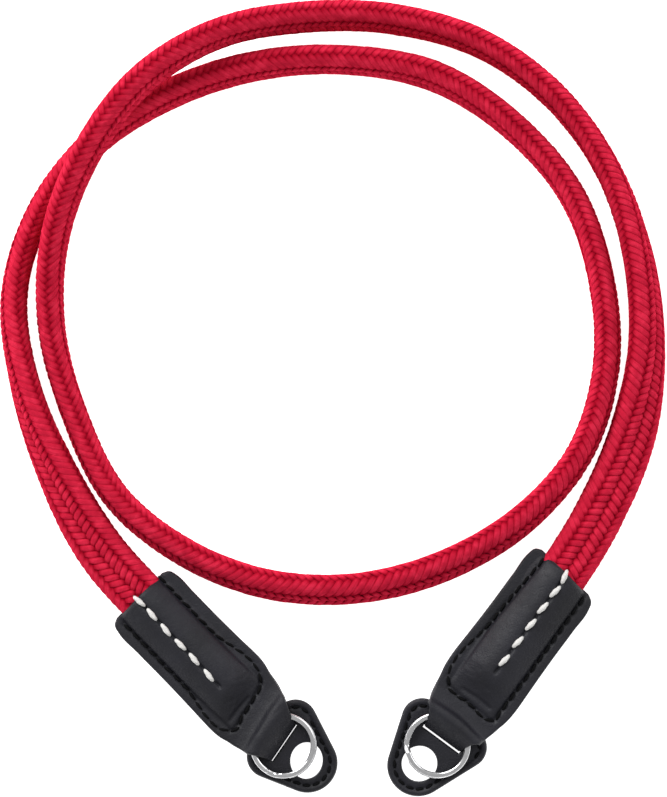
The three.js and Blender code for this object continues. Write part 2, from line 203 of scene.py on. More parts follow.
TABLE_FOLD = 48.4
POCKET_END = 30.0
# The loop's crest is bowed by LOOP_BOW at BOW_HALF_WIDTH from its middle, less and less within CREST_REACH
TABLE_CREST = 43.0
CREST_REACH = 2.2
LOOP_BOW = 0.8
BOW_HALF_WIDTH = 7
# The bulge over the pocket: its share of the width, its shape, and how much fuller it is underneath
POCKET_SHARE = 0.76
BULGE_ROUNDNESS = 2.1
BULGE_FOOT = 1.12
UNDERSIDE_PRESS = 1.12
# Leather: its thickness, how far its edges are rounded off outside and inside, and what the first rows at a mouth
# are rounded off by
LEATHER = 1.27
LEATHER_EDGE = 0.5
EDGE_OUTSIDE = 0.85
EDGE_INSIDE = 0.4
MOUTH_ROUNDING = np.array([0.62, 0.3, 0.12, 0.03]) * 0.6
TOP_STEP = 0.35
UNDER_STEP = 0.7
ROWS_PAST_FOLD = 20
LINE_STEP = 0.2
SHARES = np.concatenate([
    [-1.0, -0.997, -0.989, -0.977, -0.963], np.linspace(-0.945, 0.945, 71), [0.963, 0.977, 0.989, 0.997, 1.0],
])

# What is pressed into the leather: how deep, and how far to each side. There is none nearer to an edge than
# RELIEF_EDGE. SLIT_HALF: half the length of the slit that a hand stitch goes through.
PRESSED = dict(
    seam=dict(depth=0.36, reach=0.55),
    hand=dict(depth=0.2, reach=1.1),
    crease=dict(depth=0.34, reach=0.45),
    loop_crease=dict(depth=0.08, reach=0.6),
    hand_hole=dict(depth=0.75, reach=0.38),
    seam_hole=dict(depth=0.3, reach=0.42),
)
RELIEF_EDGE = 0.3
SLIT_HALF = 0.55
# Wrinkles: their depth, how often they come along and across, how thin they are, and where a patch of them ends
WRINKLE_DEPTH = 0.11
WRINKLE_SCALE = (0.75, 0.5)
WRINKLE_THINNESS = 2.2
WRINKLE_CUT = 0.05

# x, y, heading: middle of the mouth and direction from it to the ring. mouth_at, stitch_at, fold_at: where the
# mouth, the cross stitches and the fold are. skew: how far those three lean, in mm per mm of width. seam: the
# machine stitches. crease, loop_crease: lines pressed in beside them and at the loop's foot. wrinkles: x, y and
# reach of each patch. hand, hand_tilt: middles and turns of the white stitches. ring: its middle. corners: x, y
# and radius of the arcs that the ring cover's outline is drawn round.
ENDS = [
    dict(
        name="left", x=-49.7, y=17.7, heading=-45.6, mouth_at=0.4, stitch_at=36.4, fold_at=47.9,
        skew=(-0.005, -0.26, -0.2),
        seam=[(0.1, 6.4), (17.8, 6.3), (33.6, 6.5), (34.6, 5.6), (36.0, 1.4), (37.0, -2.8), (37.9, -5.7),
              (37.2, -6.7), (22.0, -7.1), (1.5, -7.0)],
        crease=[(34.9, 1.6), (35.2, -1.8), (35.6, -5.2)], loop_crease=[(42.1, 7.5), (41.0, 0.0), (42.2, -7.8)],
        wrinkles=[(3.5, -4.2, 2.6), (5.5, 4.2, 2.2), (29.5, 3.2, 4.0), (33.0, -2.5, 3.0)],
        hand=[(1.4, -0.75), (5.6, -0.8), (10.35, -1.0), (15.1, -0.95), (19.7, -1.05), (24.7, -1.25)],
        hand_tilt=[5, -6, -8, 0, -6, -8], hand_end=(27.7, -1.3),
        ring=(47.9, -0.5), gap_angle=-57,
        corners=[(46.1, 5.5, 4.9), (47.6, -4.9, 4.9), (55.1, 0.6, 6.9)],
        hole=dict(x=54.5, y=0.8, length=8.5, width=7.5, angle=-47), slit=dict(near=45.8, far=48.1, half_width=4.9),
    ),
    dict(
        name="right", x=49.1, y=23.3, heading=-126.5, mouth_at=0.65, stitch_at=38.1, fold_at=48.4,
        skew=(0.13, 0.1, 0.0),
        seam=[(2.6, 6.8), (35.2, 7.0), (38.0, 6.9), (38.5, 6.0), (38.2, 0.0), (37.8, -5.7), (37.0, -6.6),
              (19.3, -7.0), (0.6, -5.9)],
        crease=[(36.3, 4.4), (36.1, 1.0), (36.4, -3.2)], loop_crease=[(42.6, 7.5), (41.4, 0.0), (42.4, -7.5)],
        wrinkles=[(33.2, 1.4, 3.2), (31.5, -3.6, 3.4), (4.0, -4.5, 2.0)],
        hand=[(1.7, 0.25), (5.7, 0.55), (10.4, 0.5), (15.1, 0.55), (20.1, 0.55), (25.3, 0.55)],
        hand_tilt=[14, -9, -9, -9, -9, -9], hand_end=(28.2, 0.6),
        ring=(49.8, 0.0), gap_angle=-46,
        corners=[(46.6, 5.75, 4.75), (47.3, -6.4, 4.75), (56.7, -0.7, 7.1)],
        hole=dict(x=56.1, y=-0.7, length=8.4, width=8.1, angle=0), slit=dict(near=46.3, far=48.8, half_width=5.2),
    ),
]
# Stitches, in mm. rise: how far the middle stands out. twist: half turns of the two plies.
SEAM = dict(pitch=2.7, length=2.35, thickness=0.66, rise=0.3, sides=8, rings=11, twist=1.5)
SEAM_BELOW = dict(SEAM, rise=-0.3)
COVER_SEAM = dict(SEAM, pitch=2.3, length=1.9)
HAND = dict(length=3.5, thickness=1.15, rise=0.55, sides=12, rings=15, twist=2.0)
HAND_BELOW = dict(HAND, rise=-0.15)
# A stitch's line: how flat it is in the middle, and the share of its rise that its ends are sunk by. Its
# thickness: how blunt it is, the least share at its ends, and how far the plies stand out.
STITCH_FLATNESS = 2.5
STITCH_SUNK = 0.25
STITCH_BLUNTNESS = 2.8
STITCH_LEAST = 0.05
PLY_DEPTH = 0.11
STITCH_WOBBLE = 0.05
STITCH_TURN = 0.12
# Where the threads lie: below the leather's surface, or above its underside and at least so high
THREAD_SINK = 0.25
SEAM_LOWEST = 0.6
HAND_LOWEST = 0.62
COVER_SINK = 0.42

# Ring covers, in mm. COVER_TILT: degrees. COVER_SEAM_IN: from the edge to the stitches.
COVER_THICKNESS = 1.6
COVER_TILT = 5.3
COVER_SEAM_IN = 1.75
# Their mesh: points this far apart, closer in lines beside the edge, the hole and the slit
COVER_SPACING = 0.45
ROW_SPACING = 0.87
OUTLINE_SPACING = 0.4
EDGE_LINES = (0.12, 0.3, 0.55, 0.9, 1.3, 1.55, 1.75, 1.95, 2.3)
HOLE_LINES = (0.12, 0.3, 0.6)
SLIT_LINES = (0.15, 0.4)
GRID_IN = 2.5
LEAST_GAP = 0.08
# Their surface: the edges are rounded off over reach by drop, a groove and a swell follow the edge at far from it,
# and the middle lies lower
COVER_ROUNDING = dict(edge=dict(reach=0.6, drop=0.65), hole=dict(reach=0.3, drop=0.35))
COVER_GROOVE = dict(depth=0.34, far=COVER_SEAM_IN, reach=0.4)
COVER_SWELL = dict(depth=0.1, far=0.85, reach=0.45)
COVER_MIDDLE = dict(depth=0.1, far=2.0, steepness=6)
COVER_THINNER = 0.05
GROOVE_BELOW = 0.5

# Split rings, in mm. TURN_SLIDE: how far the lower turn has slid. STEP_ARC: share of a turn in which the wire
# steps up. WIRE_ROUNDNESS: 1 is an ellipse, less is squarer. END_ROWS, END_SHARE: how the wire's ends taper.
RING_RADIUS = 7.6
WIRE_WIDTH = 1.3
WIRE_HEIGHT = 0.9
WIRE_ROUNDNESS = 0.9
WIRE_SIDES = 16
TURN_PITCH = 1.05
TURN_SLIDE = 0.35
RING_TURNS = 1.9
RING_STEPS = 400
STEP_ARC = 0.06
RING_GAP = 0.3
END_ROWS = 3.0
END_SHARE = 0.75

# Colours, as stops of ramps
SILK_TONES = [(0.5, (0.43, 0.010, 0.032)), (0.85, (0.55, 0.015, 0.043)), (1.0, (0.67, 0.024, 0.062))]
# SILK_SHADE: painted shade, multiplied into the silk's colour, darkest between yarns and where they pass under
SILK_SHADE = [(0.0, (0.2, 0.02, 0.09)), (0.5, (0.64, 0.3, 0.42)), (0.85, (1, 1, 1))]
SILK_SHEEN = (1.0, 0.1, 0.5, 1.0)
# Painted shade: the core's near-black red stands for the shadow inside the braid, seen between the yarns
CORE_SHADE_TONES = [(0.3, (0.05, 0.0, 0.003)), (0.7, (0.1, 0.001, 0.006))]
STEEL_TONES = [(0.3, (0.62, 0.62, 0.63)), (0.7, (0.72, 0.72, 0.73))]
FLOOR_TONES = [(0.3, (0.78, 0.78, 0.78)), (0.7, (0.8, 0.8, 0.8))]
WHITE = (1.0, 1.0, 1.0, 1.0)
# base: leather's colour, with LEATHER_DARK and LEATHER_PALE times as much of it in patches
END_LEATHER = dict(name="end_leather", base=(0.0082, 0.0082, 0.0125), fineness=2600.0)
COVER_LEATHER = dict(name="cover_leather", base=(0.0072, 0.0072, 0.0115), fineness=2200.0)
LEATHER_DARK = 0.75
LEATHER_PALE = 1.35
BLACK_THREAD = dict(name="black_thread", dark=(0.001, 0.001, 0.001), pale=(0.004, 0.004, 0.005), gloss=0.12)
WHITE_THREAD = dict(name="white_thread", dark=(0.58, 0.57, 0.55), pale=(0.82, 0.81, 0.79), gloss=0.3)

# Studio: how bright the white room and the glowing floor are, and the lamps, in metres and watts. The floor's
# height is in mm, just below the lowest yarn.
SKY_STRENGTH = 0.52
FLOOR_GLOW = 1.0
FLOOR_HEIGHT = -0.25
FLOOR_SIZE = 6.0
LAMP_AIM = (0, 0.06, 0)
LAMPS = [
    dict(name="key", place=(-0.75, 1.0, 0.95), size=1.1, power=23.0),
    dict(name="fill", place=(0.95, 0.5, 0.85), size=1.0, power=5.0),
]


def camera():
    data = bpy.data.cameras.new("camera")
    data.sensor_fit = "VERTICAL"
    data.sensor_height = SENSOR_HEIGHT
    data.lens = SENSOR_HEIGHT * (CAMERA_HEIGHT - FOCUS_HEIGHT) / (PHOTO_HEIGHT * MM_PER_PIXEL)
    data.clip_end = CLIP_END
    piece = bpy.data.objects.new("camera", data)
    piece.location = (VIEW_CENTRE[0] * MM, VIEW_CENTRE[1] * MM, CAMERA_HEIGHT * MM)
    bpy.context.scene.collection.objects.link(piece)
    bpy.context.scene.camera = piece


def catmull_rom(rows, count):
    """Points on the even spline through the rows, count for each stretch between two rows."""
    rows = np.asarray(rows, float)
    ends = np.vstack([2 * rows[0] - rows[1], rows, 2 * rows[-1] - rows[-2]])
    t = np.linspace(0, 1, count, endpoint=False)[:, None]
    out = []
    for before, here, there, after in zip(ends, ends[1:], ends[2:], ends[3:]):
        leave = (there - before) / 2
        arrive = (after - here) / 2
        out.append(
            (2 * t**3 - 3 * t**2 + 1) * here + (t**3 - 2 * t**2 + t) * leave
            + (3 * t**2 - 2 * t**3) * there + (t**3 - t**2) * arrive
        )
    out.append(rows[-1:])
    return np.vstack(out)


def lerp(a, b, t):
    return a + (b - a) * t


def unit(vectors):
    return vectors / np.linalg.norm(vectors, axis=-1, keepdims=True)


def distances_along(points):
    """Distance along a line of points, up to each of them."""
    return np.concatenate([[0], np.cumsum(np.linalg.norm(np.diff(points, axis=0), axis=1))])


def places_at(steps, points):
    """Places on a line of points, at distances along it."""
    far = distances_along(points)
    return np.stack([np.interp(steps, far, column) for column in points.T], axis=1)


def section_outline(inset, count=OUTLINE_COUNT, roundness=CORD_ROUNDNESS):
    """The flat braid's outline round its section, from the left tip over the top face, with both valleys."""
    wide = CORD_WIDTH / 2 - inset + (TIP_FILL if inset else 0)
    thin = CORD_THICKNESS / 2 - inset
    angle = np.linspace(math.pi, -math.pi, count)
    power = 2 / roundness
    x = wide * np.sign(np.cos(angle)) * np.abs(np.cos(angle)) ** power
    y = thin * np.sign(np.sin(angle)) * np.abs(np.sin(angle)) ** power
    y -= np.sign(y) * VALLEY_DEPTH * np.exp(-(x / VALLEY_WIDTH) ** 2)
    return np.stack([x, y], axis=1)


def route():
    """The cord's middle line in even steps: place, the two directions across, and the yarns' crossings so far."""
    x, y, turn, lift = catmull_rom(CORD_ROUTE, ROUTE_COUNT).T
    turn = np.radians(turn)
    turn += math.radians(TIP_SETTLE) * np.sin(2 * turn)
    outline = section_outline(0.0)
    wider, thicker = edge_squash(turn[:, None])
    reach = outline[:, 0] * wider * np.sin(turn)[:, None] + outline[:, 1] * thicker * np.cos(turn)[:, None]
    middle = np.column_stack([x, y, reach.max(axis=1) + np.maximum(lift, 0)])
    along = distances_along(middle)
    steps = np.arange(POCKET_DEPTH - IN_POCKET, along[-1] - POCKET_DEPTH + IN_POCKET, YARN_STEP)
    place = places_at(steps, middle)
    turn = np.interp(steps, along, turn)[:, None]
    pitch = np.interp(steps, *zip(*YARN_PITCHES))
    tangent = unit(np.gradient(place, axis=0))
    right = unit(np.cross(tangent, (0, 0, 1)))
    above = np.cross(right, tangent)
    wide = right * np.cos(turn) + above * np.sin(turn)
    thin = above * np.cos(turn) - right * np.sin(turn)
    wider, thicker = edge_squash(turn)
    return dict(steps=steps, place=place, wide=wide * wider, thin=thin * thicker, total=along[-1],
                crossings=np.cumsum(2 * YARN_STEP / pitch), upright=np.sin(turn[:, 0]) ** 2)


def edge_squash(turn):
    """How far the section gives where the cord stands on its edge: its width and thickness as shares."""
    upright = np.sin(turn) ** 2
    return 1 - EDGE_NARROWER * upright, 1 + EDGE_THICKER * upright


def new_piece(name, points, faces, material, uvs=None, depth=None):
    """A closed mesh piece from points in mm and faces of three or four corners, turned to face outwards."""
    faces = np.asarray(faces, dtype=np.int32)
    if volume(np.asarray(points, float), faces) < 0:
        faces = faces[:, ::-1]
    corners = faces.shape[1]
    mesh = bpy.data.meshes.new(name)
    mesh.vertices.add(len(points))
    mesh.vertices.foreach_set("co", (np.asarray(points, float) * MM).ravel())
    mesh.loops.add(faces.size)
    mesh.loops.foreach_set("vertex_index", faces.ravel())
    mesh.polygons.add(len(faces))
    mesh.polygons.foreach_set("loop_start", np.arange(0, faces.size, corners, dtype=np.int32))
    mesh.polygons.foreach_set("use_smooth", np.full(len(faces), True))
    if uvs is not None:
        layer = mesh.uv_layers.new(name="UVMap")
        layer.data.foreach_set("uv", np.asarray(uvs, float)[faces.ravel()].ravel())
    # depth: painted shade for each point, kept as an attribute that darkens the silk's colour
    if depth is not None:
        mesh.attributes.new("depth", "FLOAT", "POINT").data.foreach_set("value", depth)
    mesh.update(calc_edges=True)
    mesh.validate()
    mesh.materials.append(material)
    piece = bpy.data.objects.new(name, mesh)
    bpy.context.scene.collection.objects.link(piece)
    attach(piece, BODY)
    return piece


def volume(points, faces):
    """Volume inside closed faces: less than nothing where they face inwards."""
    fans = [points[faces[:, [0, i, i + 1]]] for i in range(1, faces.shape[1] - 1)]
    return sum(np.einsum("ij,ij->", fan[:, 0], np.cross(fan[:, 1], fan[:, 2])) for fan in fans) / 6


def tube_walls(rings, sides):
    """Quads between rings of points, one after the other."""
    ring = np.arange(rings - 1)[:, None] * sides
    side = np.arange(sides)[None, :]
    after = (side + 1) % sides
    walls = np.stack([ring + side, ring + after, ring + sides + after, ring + sides + side], axis=2)
    return walls.reshape(-1, 4)


def tube_faces(rings, sides, first=0):
    """Quads of a tube of rings, with each end closed by a row of quads."""
    caps = []
    last = first + (rings - 1) * sides
    for i in range(1, sides - 2, 2):
        caps.append([first, first + i + 2, first + i + 1, first + i])
        caps.append([last, last + i, last + i + 1, last + i + 2])
    return np.vstack([tube_walls(rings, sides) + first, np.array(caps)])


def column_places(outline):
    """Distance round the outline at which each of the eight columns of floats begins, and of each of its points."""
    lengths = distances_along(outline)
    half = len(outline) // 2

    def on_top(x):
        return np.interp(x, outline[:half, 0], lengths[:half])

    total = lengths[-1]
    tip = total / 2
    first = TIP_SHIFT
    places = [first, on_top(-RIDGE), on_top(0.0), on_top(RIDGE)]
    places += [tip + place for place in places]
    return np.array(places + [total + first]), lengths


def yarn_points(line, outlines, columns, lengths, start, direction):
    """Rings of one yarn that runs round the section as it goes along, over in every other column."""
    steps = line["steps"] - line["steps"][0]
    total = lengths[-1]
    number = np.arange(COLUMNS + 1)
    lean = direction * FLOAT_LEAN
    crossing = np.mod(start + direction * line["crossings"] + lean / 2, 2 * YARNS_EACH_WAY)
    borders = np.concatenate([[0], np.cumsum(CROSSINGS)]) + lean * (number % 2)
    column = np.interp(crossing, borders, number)
    round_place = np.mod(np.interp(column, number, columns), total)

    def on_section(place):
        place = np.mod(place, total)
        flat, edge = ([np.interp(place, lengths, outline[:, i]) for i in range(2)] for outline in outlines)
        return [lerp(flat[i], edge[i], line["upright"]) for i in range(2)]

    x, y = on_section(round_place)
    ahead, behind = on_section(round_place + SLOPE_STEP), on_section(round_place - SLOPE_STEP)
    dx, dy = ahead[0] - behind[0], ahead[1] - behind[1]
    size = np.hypot(dx, dy)
    outward = unit((-dy / size)[:, None] * line["wide"] + (dx / size)[:, None] * line["thin"])
    phase = np.sin(math.pi * column)
    rise = direction * YARN_RISE * np.sign(phase) * np.abs(phase) ** RISE_SHAPE
    knots = np.arange(0, steps[-1] + 2 * WOBBLE_SPACING, WOBBLE_SPACING)
    wobble = np.interp(steps, knots, RNG.normal(0, YARN_WOBBLE, len(knots)))
    centre = (line["place"] + x[:, None] * line["wide"] + y[:, None] * line["thin"]
              + (rise + wobble)[:, None] * outward)
    forward = unit(np.gradient(centre, axis=0))
    sideways = unit(np.cross(forward, outward))
    upward = np.cross(sideways, forward)
    width = YARN_WIDTH * (FLOAT_TAPER + (1 - FLOAT_TAPER) * np.abs(phase) ** WIDTH_SHAPE) / 2
    width *= np.interp(np.mod(column, COLUMNS / 2), TIP_BAND, [TIP_YARN_WIDER, 1, 1, TIP_YARN_WIDER])
    # Painted shade: depth is 1 where the colour stays lit and 0 where it is darkest, where the yarn passes under
    # and along its sides
    depth = np.outer(np.where(rise > 0, np.abs(phase) ** SHADE_SHAPE, 0), YARN_SHADE).ravel()
    rings = (centre[:, None, :]
             + (width[:, None] * YARN_SECTION[:, 0])[:, :, None] * sideways[:, None, :]
             + (YARN_THICKNESS / 2 * YARN_SECTION[:, 1])[None, :, None] * upward[:, None, :])
    far = distances_along(centre)
    around = (np.arange(YARN_SIDES) / YARN_SIDES)[None, :]
    uvs = np.stack(np.broadcast_arrays(far[:, None] / FIBRE_LENGTH, around), axis=2)
    return rings.reshape(-1, 3), uvs.reshape(-1, 2), depth


def silk_cord(line, silk, core_shade):
    """The 24 braided yarns in four pieces, round a dark core that stands for the shadow inside the braid."""
    inset = YARN_THICKNESS / 2 + YARN_RISE
    outlines = [section_outline(inset), section_outline(inset, roundness=EDGE_ROUNDNESS)]
    columns, lengths = column_places(outlines[0])
    rings = len(line["steps"])
    yarns = [(2 * j, 1) for j in range(YARNS_EACH_WAY)] + [(2 * j + 1, -1) for j in range(YARNS_EACH_WAY)]
    for group in range(YARN_GROUPS):
        points, uvs, faces, painted_shades = [], [], [], []
        for start, direction in yarns[group::YARN_GROUPS]:
            yarn, uv, depth = yarn_points(line, outlines, columns, lengths, start, direction)
            faces.append(tube_faces(rings, YARN_SIDES, sum(len(p) for p in points)))
            points.append(yarn)
            uvs.append(uv + group * GROUP_SHIFT + start)
            painted_shades.append(depth)
        piece = new_piece(f"silk_yarns_{group + 1}", np.vstack(points), np.vstack(faces), silk,
                          np.vstack(uvs), np.concatenate(painted_shades))
    # Painted shade: a dark tube inside the yarns, where the inside of the braid lies in shadow
    outline = section_outline(YARN_THICKNESS + YARN_RISE + CORE_INSET, CORE_SIDES + 1, EDGE_ROUNDNESS)[:-1][::-1]
    place, wide, thin = (line[key][::CORE_EVERY, None, :] for key in ("place", "wide", "thin"))
    core = place + outline[None, :, :1] * wide + outline[None, :, 1:] * thin
    core_piece = new_piece("painted_shade_core", core.reshape(-1, 3), tube_faces(core.shape[0], CORE_SIDES), core_shade)
    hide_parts("silk_cord")


def smooth_path(rows, step):
    """Points on a smooth curve through the rows, about step apart, measured in the first two columns."""
    rows = np.asarray(rows, float)
    far = distances_along(rows[:, :2])
    slopes = np.gradient(rows, far, axis=0)
    steps = np.linspace(0, far[-1], max(2, round(far[-1] / step)))
    i = np.clip(np.searchsorted(far, steps, side="right") - 1, 0, len(far) - 2)
    gap = (far[i + 1] - far[i])[:, None]
    t = (steps - far[i])[:, None] / gap
    return ((2 * t**3 - 3 * t**2 + 1) * rows[i] + (t**3 - 2 * t**2 + t) * gap * slopes[i]
            + (3 * t**2 - 2 * t**3) * rows[i + 1] + (t**3 - t**2) * gap * slopes[i + 1])


def place_along(at, end):
    """Distances that the tables give for the right end, moved to this end's own stitches and fold."""
    return np.interp(at, [0, POCKET_END, TABLE_STITCH, TABLE_FOLD, TABLE_FOLD + 1],
                     [end["mouth_at"], POCKET_END, end["stitch_at"], end["fold_at"], end["fold_at"] + 1])


def drift(x, y, end):
    """How far a place across the strip moves along it: the lines across it lean, and the loop's crest is bowed."""
    lean = np.interp(x, [0, end["stitch_at"], end["fold_at"]], end["skew"])
    return y * lean + LOOP_BOW * (y / BOW_HALF_WIDTH) ** 2 * np.exp(-((x - TABLE_CREST) / CREST_REACH) ** 2)


def bulge_at(share, top=True):
    """How much of the bulge's height there is at a share of the half width."""
    out = np.minimum(np.abs(share) / POCKET_SHARE, 1)
    bulge = (1 - out**BULGE_ROUNDNESS) ** BULGE_FOOT
    return np.where(top, bulge, np.minimum(1, UNDERSIDE_PRESS * bulge))


def to_world(points, end):
    """From a leather end's own frame to the shared one."""
    angle = math.radians(end["heading"])
    turn = np.array([[math.cos(angle), -math.sin(angle)], [math.sin(angle), math.cos(angle)]])
    out = np.array(points, float)
    out[..., :2] = out[..., :2] @ turn.T + (end["x"], end["y"])
    return out


def end_height(end, x, y, top=True):
    """Height of a leather end's outer surface at a place in its own frame."""
    far = x - drift(x, y, end)
    far = x - drift(far, y, end)
    at = place_along(np.array([row["at"] for row in END_SECTIONS]), end)
    keys = ("high", "rim_high") if top else ("low", "rim_low")
    middle, rim, half = (np.interp(far, at, [row[key] for row in END_SECTIONS]) for key in (*keys, "half_width"))
    return float(lerp(rim, middle, bulge_at(y / half, top)))


def distance_to(points, line):
    """Shortest distance from each point to a line of straight stretches."""
    best = np.full(points.shape[:-1], np.inf)
    for start, stop in zip(line, line[1:]):
        start, stop = np.array(start, float), np.array(stop, float)
        along = stop - start
        share = np.clip(((points - start) @ along) / (along @ along), 0, 1)[..., None]
        best = np.minimum(best, np.linalg.norm(points - start - share * along, axis=-1))
    return best


def evenly(line, pitch):
    """Places every pitch along a line, with the direction there."""
    line = smooth_path(line, LINE_STEP)
    steps = np.arange(pitch / 2, distances_along(line)[-1] - pitch / 3, pitch)
    place = places_at(steps, line)
    return place, unit(places_at(steps + LINE_STEP / 2, line) - place)


def leather_end(end, leather):
    """One strip of leather that goes from the mouth over the pocket, round the fold and back underneath."""
    over = [(row["at"], row["high"], row["half_width"], row["rim_high"]) for row in END_SECTIONS]
    under = [(row["at"], row["low"], row["half_width"], row["rim_low"]) for row in END_SECTIONS]
    path = smooth_path(over + under[::-1], TOP_STEP)
    fold = np.argmax(path[:, 0])
    coarse = round(UNDER_STEP / TOP_STEP)
    fine = fold + ROWS_PAST_FOLD
    under_rows = np.unique(np.append(np.arange(fine, len(path), coarse), len(path) - 1))
    path = path[np.concatenate([np.arange(fine), under_rows])]
    at, middle, half, rim = (path[:, i:i + 1] for i in range(4))
    on_top = np.arange(len(path))[:, None] <= fold
    bulge = bulge_at(SHARES[None, :], on_top)
    x = np.repeat(place_along(at, end), len(SHARES), axis=1)
    y = half * SHARES
    grid = np.stack([x, y, lerp(rim, middle, bulge)], axis=2)
    across = np.gradient(grid, axis=1)
    along = np.gradient(grid, axis=0)
    normal = unit(np.cross(along, across))
    from_edge = (1 - np.abs(SHARES)) * half
    inset = np.clip(1 - from_edge / LEATHER_EDGE, 0, 1)
    rounding = LEATHER_EDGE * (1 - np.sqrt(1 - inset**2)) * EDGE_OUTSIDE
    skewed = grid.copy()
    skewed[..., 0] += drift(x, y, end)
    relief = leather_relief(end, skewed[..., :2]) * np.where(from_edge > RELIEF_EDGE, 1, 0)
    nose = np.zeros((len(path), 1))
    nose[:len(MOUTH_ROUNDING), 0] = MOUTH_ROUNDING
    nose[-len(MOUTH_ROUNDING):, 0] = MOUTH_ROUNDING[::-1]
    outer = skewed - normal * (rounding + relief + nose)[..., None]
    inner = skewed - normal * (LEATHER - rounding * EDGE_INSIDE - nose)[..., None]
    rings = np.concatenate([outer, inner[:, ::-1]], axis=1)
    count = rings.shape[1]
    faces = tube_walls(len(path), count)
    cap = np.array([[i, count - 1 - i, count - 2 - i, i + 1] for i in range(count // 2 - 1)])
    last = (len(path) - 1) * count
    faces = np.vstack([faces, cap[:, ::-1], cap + last])
    piece = new_piece(f"leather_{end['name']}", to_world(rings.reshape(-1, 3), end), faces, leather)
    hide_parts(f"leather_end_{end['name']}")


def pressed(kind, far):
    """How deep the leather is pressed in so far from a line or a hole of that kind."""
    row = PRESSED[kind]
    return row["depth"] * np.exp(-(far / row["reach"]) ** 2)


def leather_relief(end, places):
    """How deep the leather is pressed in under its stitches and along its creases."""
    depth = pressed("seam", distance_to(places, end["seam"]))
    depth += pressed("hand", distance_to(places, [*end["hand"], end["hand_end"]]))
    depth += pressed("crease", distance_to(places, end["crease"]))
    depth += pressed("loop_crease", distance_to(places, end["loop_crease"]))
    depth += wrinkles(end, places)
    along = np.array([SLIT_HALF, 0.0])
    for hole in hand_holes(end):
        depth += pressed("hand_hole", distance_to(places, [hole - along, hole + along]))
    stitches, directions = evenly(end["seam"], SEAM["pitch"])
    for hole in stitches + directions * SEAM["pitch"] / 2:
        depth += pressed("seam_hole", np.linalg.norm(places - hole, axis=-1))
    return depth


def wrinkles(end, places):
    """Thin irregular creases in the patches where the leather is bent."""
    out = np.zeros(places.shape[:-1])
    for x, y, reach in end["wrinkles"]:
        mask = np.exp(-(np.linalg.norm(places - (x, y), axis=-1) / reach) ** 2)
        for row, column in np.argwhere(mask > WRINKLE_CUT):
            along, across = places[row, column] * WRINKLE_SCALE
            ridge = 1 - abs(noise.noise(Vector((along, across, x)))) * WRINKLE_THINNESS
            out[row, column] += WRINKLE_DEPTH * mask[row, column] * max(0, ridge) ** 2
    return out


def hand_holes(end):
    """Where the white thread goes down: between its stitches, and past the last one."""
    hand = np.array(end["hand"])
    middles = (hand[1:] + hand[:-1]) / 2
    return np.vstack([middles, [end["hand_end"]]])


def stitch(place, reach, height, thread):
    """A short thread that comes up out of the leather at place - reach and goes down into it at place + reach."""
    sides, rings, rise = thread["sides"], thread["rings"], thread["rise"]
    share = np.linspace(0, 1, rings)
    from_middle = np.abs(2 * share - 1)
    centre = np.zeros((rings, 3))
    centre[:, :2] = lerp(place - reach, place + reach, share[:, None])
    surface = np.array([height(*point[:2]) for point in centre])
    centre[:, 2] = surface + rise * (1 - from_middle**STITCH_FLATNESS) - rise * STITCH_SUNK
    forward = unit(np.gradient(centre, axis=0))
    sideways = unit(np.cross(forward, (0, 0, 1)))
    upward = np.cross(sideways, forward)
    radius = thread["thickness"] / 2 * np.sqrt(np.clip(1 - from_middle**STITCH_BLUNTNESS, STITCH_LEAST, 1))
    angle = np.arange(sides) * 2 * math.pi / sides
    twist = share[:, None] * thread["twist"] * math.pi
    radius = radius[:, None] * (1 + PLY_DEPTH * np.cos(2 * (angle[None, :] - twist)))
    points = (centre[:, None, :] + (radius * np.cos(angle))[:, :, None] * sideways[:, None, :]
              + (radius * np.sin(angle))[:, :, None] * upward[:, None, :])
    return points.reshape(-1, 3), tube_faces(rings, sides)


def joined(parts):
    """One mesh from the points and faces of several."""
    points, faces, first = [], [], 0
    for some, corners in parts:
        points.append(some)
        faces.append(corners + first)
        first += len(some)
    return np.vstack(points), np.vstack(faces)


def seam_stitches(line, height, thread):
    """Machine stitches along a line, each a little askew."""
    places, directions = evenly(line, thread["pitch"])
    turns = RNG.normal(0, STITCH_WOBBLE, len(places)) + STITCH_TURN
    out = []
    for place, direction, turn in zip(places, directions, turns):
        side = np.array([-direction[1], direction[0]])
        out.append(stitch(place, direction * thread["length"] / 2 + side * turn, height, thread))
    return out


def end_stitches(end, dark, white):
    """A leather end's machine stitches and hand stitches, on both sides."""
    def over(x, y):
        return end_height(end, x, y) - THREAD_SINK

    def seam_below(x, y):
        return max(end_height(end, x, y, top=False) + THREAD_SINK, SEAM_LOWEST)

    def hand_below(x, y):
        return max(end_height(end, x, y, top=False), 0.0) + HAND_LOWEST

    threads = seam_stitches(end["seam"], over, SEAM) + seam_stitches(end["seam"], seam_below, SEAM_BELOW)
    points, faces = joined(threads)
    piece = new_piece(f"seam_{end['name']}", to_world(points, end), faces, dark)
    threads = []
    for place, tilt in zip(end["hand"], end["hand_tilt"]):
        angle = math.radians(tilt)
        reach = np.array([math.cos(angle), math.sin(angle)]) * HAND["length"] / 2
        threads += [stitch(place, reach, over, HAND), stitch(place, reach, hand_below, HAND_BELOW)]
    points, faces = joined(threads)
    piece = new_piece(f"hand_stitches_{end['name']}", to_world(points, end), faces, white)


